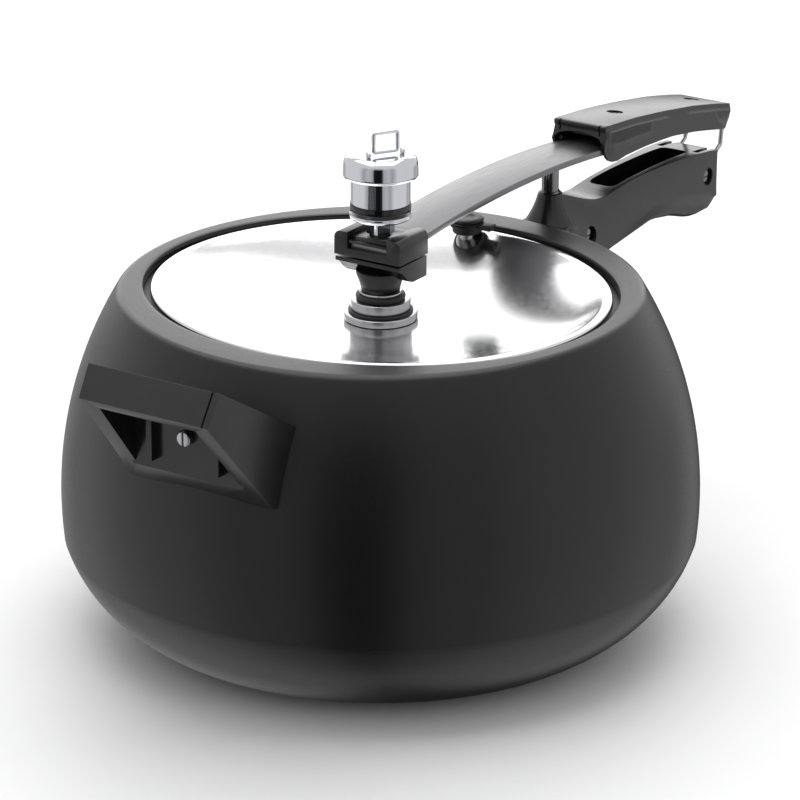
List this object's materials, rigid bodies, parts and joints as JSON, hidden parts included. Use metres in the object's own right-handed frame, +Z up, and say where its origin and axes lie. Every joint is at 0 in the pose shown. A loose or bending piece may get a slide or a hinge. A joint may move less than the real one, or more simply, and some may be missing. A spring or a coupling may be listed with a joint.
{
  "type": "stovetop pressure cooker",
  "caption": "Stovetop pressure cooker: rounded black pot, inner-fitting oval steel lid with lever handle and lifting vent weight, body handle with wire locking loop, helper handle.",
  "frame": {"origin": "centre of the pot's flat base, on the surface it stands on", "axes": "+Z up; +X along the long lid handle and body handle; helper handle towards -X"},
  "size_m": [0.411, 0.25, 0.2006],
  "materials": {
    "anodised": "satin hard-anodised",
    "phenolic": "moulded phenolic, semi-gloss",
    "mirror_steel": "mirror-polished stainless steel",
    "steel": "bright zinc-plated steel",
    "lever_steel": "satin stainless steel",
    "disc_steel": "spun ferritic steel",
    "rubber": "moulded rubber",
    "chrome": "bright chrome plate",
    "alloy": "machined",
    "band": "gloss black band"
  },
  "bodies": {
    "pot": {"pot_shell": "anodised", "base_disc": "disc_steel", "wall_bracket": "steel", "bracket_rivets": "alloy", "fulcrum_post": "steel", "body_handle": "phenolic", "front_screw": "steel", "loop_pin": "steel", "handle_nuts": "steel", "helper_handle": "phenolic", "helper_bracket": "steel", "helper_rivets": "alloy", "helper_screw": "steel"},
    "lid": {"lid_plate": "mirror_steel", "lid_gasket": "rubber", "hub_boss": "steel", "hub_seal": "rubber", "hub_spacer": "steel", "hub_gasket": "rubber", "hub_washer": "steel", "yoke_base": "phenolic", "vent_tube": "alloy", "tube_nut": "chrome", "under_nut": "steel", "tube_flange": "alloy", "valve_stem": "steel", "valve_cap": "rubber", "valve_nut": "steel", "fusible_plug": "alloy"},
    "lever": {"lever_bar": "lever_steel", "yoke_clamp": "phenolic", "yoke_plate": "phenolic", "lid_handle": "phenolic", "lid_handle_screws": "steel"},
    "weight": {"weight_body": "chrome", "weight_band": "band", "weight_ring": "chrome", "weight_cap": "chrome", "weight_core": "steel"},
    "weight_loop": {"weight_loop": "chrome"},
    "locking_loop": {"locking_loop": "steel"}
  },
  "joints": [
    {"name": "lid_drop", "type": "slide", "parent": "pot", "child": "lid", "axis": [0, 0, -1], "range_m": [0, 0.008]},
    {"name": "lever_lift", "type": "hinge", "parent": "lid", "child": "lever", "pos_m": [0, 0, 0.1498], "axis": [0, -1, 0], "range_deg": [0, 3.7]},
    {"name": "loop_swing", "type": "hinge", "parent": "pot", "child": "locking_loop", "pos_m": [0.2345, 0, 0.1212], "axis": [0, 1, 0], "range_deg": [0, 80]},
    {"name": "weight_lift", "type": "slide", "parent": "lid", "child": "weight", "axis": [0, 0, 1], "range_m": [0, 0.02]},
    {"name": "weight_loop_swing", "type": "hinge", "parent": "weight", "child": "weight_loop", "pos_m": [-0.00238, -0.00382, 0.1919], "axis": [0.848, -0.5299, 0], "range_deg": [-85, 85]}
  ],
  "couplings": [
    {"joint": "lever_lift", "follows": "lid_drop", "rad_per_m": 8}
  ]
}
